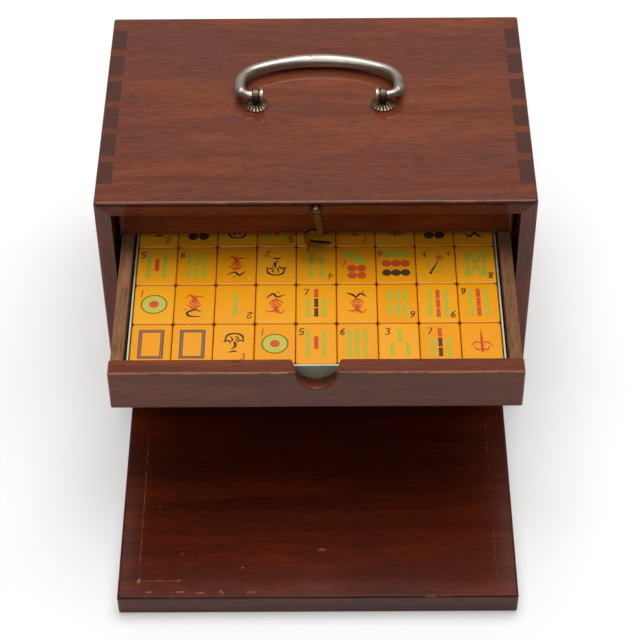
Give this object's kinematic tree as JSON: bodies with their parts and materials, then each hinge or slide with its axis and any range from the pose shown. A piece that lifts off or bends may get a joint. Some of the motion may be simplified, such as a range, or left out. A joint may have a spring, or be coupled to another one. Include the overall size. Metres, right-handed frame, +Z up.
{
  "type": "mahjong case",
  "caption": "Dovetailed hardwood mahjong case with drawers of tiles on runners, a loose front panel, a folding bail handle and a swing hook latch.",
  "frame": {"origin": "centre of the underside of the case, on the surface it stands on", "axes": "+Z up, +Y towards the back of the case, the open front and its drawers at -Y, +X to the right seen from the front"},
  "size_m": [0.243, 0.3248, 0.1693],
  "materials": {
    "varnished_hardwood": "glossy red-brown varnish, rubbed at the edges",
    "plain_hardwood": "planed, unvarnished",
    "tinned_sheet": "dull grey-green metal sheet with a pale rim",
    "butterscotch_tile": "polished phenolic resin",
    "bone_counter": "smooth ivory-coloured",
    "nickel_plate": "worn nickel plate",
    "worn_nickel_brass": "brass with the plating worn through",
    "aged_brass": "dull aged brass"
  },
  "bodies": {
    "case": {"back_board": "varnished_hardwood", "bottom_board": "varnished_hardwood", "handle_left_post": "worn_nickel_brass", "handle_left_rosette": "worn_nickel_brass", "handle_right_post": "worn_nickel_brass", "handle_right_rosette": "worn_nickel_brass", "hook_screw": "aged_brass", "left_runners": "plain_hardwood", "left_side": "varnished_hardwood", "right_runners": "plain_hardwood", "right_side": "varnished_hardwood", "top_board": "varnished_hardwood"},
    "drawer_1": {"drawer_1_back": "plain_hardwood", "drawer_1_bottom": "plain_hardwood", "drawer_1_front": "varnished_hardwood", "drawer_1_left_side": "plain_hardwood", "drawer_1_liner": "tinned_sheet", "drawer_1_right_side": "plain_hardwood", "drawer_1_tiles": "butterscotch_tile"},
    "drawer_2": {"drawer_2_back": "plain_hardwood", "drawer_2_bottom": "plain_hardwood", "drawer_2_front": "varnished_hardwood", "drawer_2_left_side": "plain_hardwood", "drawer_2_liner": "tinned_sheet", "drawer_2_right_side": "plain_hardwood", "drawer_2_tiles": "butterscotch_tile"},
    "drawer_3": {"drawer_3_back": "plain_hardwood", "drawer_3_bottom": "plain_hardwood", "drawer_3_front": "varnished_hardwood", "drawer_3_left_side": "plain_hardwood", "drawer_3_liner": "tinned_sheet", "drawer_3_right_side": "plain_hardwood", "drawer_3_tiles": "butterscotch_tile"},
    "drawer_4": {"drawer_4_back": "plain_hardwood", "drawer_4_bottom": "plain_hardwood", "drawer_4_front": "varnished_hardwood", "drawer_4_left_side": "plain_hardwood", "drawer_4_liner": "tinned_sheet", "drawer_4_right_side": "plain_hardwood", "drawer_4_tiles": "butterscotch_tile"},
    "drawer_5": {"drawer_5_back": "plain_hardwood", "drawer_5_bottom": "plain_hardwood", "drawer_5_counters": "bone_counter", "drawer_5_dice": "bone_counter", "drawer_5_front": "varnished_hardwood", "drawer_5_left_side": "plain_hardwood", "drawer_5_liner": "tinned_sheet", "drawer_5_right_side": "plain_hardwood"},
    "handle": {"handle_bail": "nickel_plate", "handle_end_caps": "nickel_plate"},
    "hook": {"hook_latch": "aged_brass"},
    "panel": {"front_panel": "varnished_hardwood", "catch_screw": "aged_brass"}
  },
  "joints": [
    {"name": "drawer_1_slide", "type": "slide", "parent": "case", "child": "drawer_1", "axis": [0, -1, 0], "range_m": [0, 0.0145]},
    {"name": "drawer_2_slide", "type": "slide", "parent": "case", "child": "drawer_2", "axis": [0, -1, 0], "range_m": [-0.1069, 0.0131]},
    {"name": "drawer_3_slide", "type": "slide", "parent": "case", "child": "drawer_3", "axis": [0, -1, 0], "range_m": [0, 0.12]},
    {"name": "drawer_4_slide", "type": "slide", "parent": "case", "child": "drawer_4", "axis": [0, -1, 0], "range_m": [0, 0.12]},
    {"name": "drawer_5_slide", "type": "slide", "parent": "case", "child": "drawer_5", "axis": [0, -1, 0], "range_m": [0, 0.032]},
    {"name": "handle_hinge", "type": "hinge", "parent": "case", "child": "handle", "pos_m": [0.0022, 0.0005, 0.1651], "axis": [1, 0, 0], "range_deg": [0, 189]},
    {"name": "hook_pivot", "type": "hinge", "parent": "case", "child": "hook", "pos_m": [0, -0.0836, 0.1535], "axis": [0, 1, 0], "continuous": true},
    {"name": "panel_slide", "type": "slide", "parent": "case", "child": "panel", "axis": [0, -1, 0], "range_m": [0, 0.12]}
  ]
}
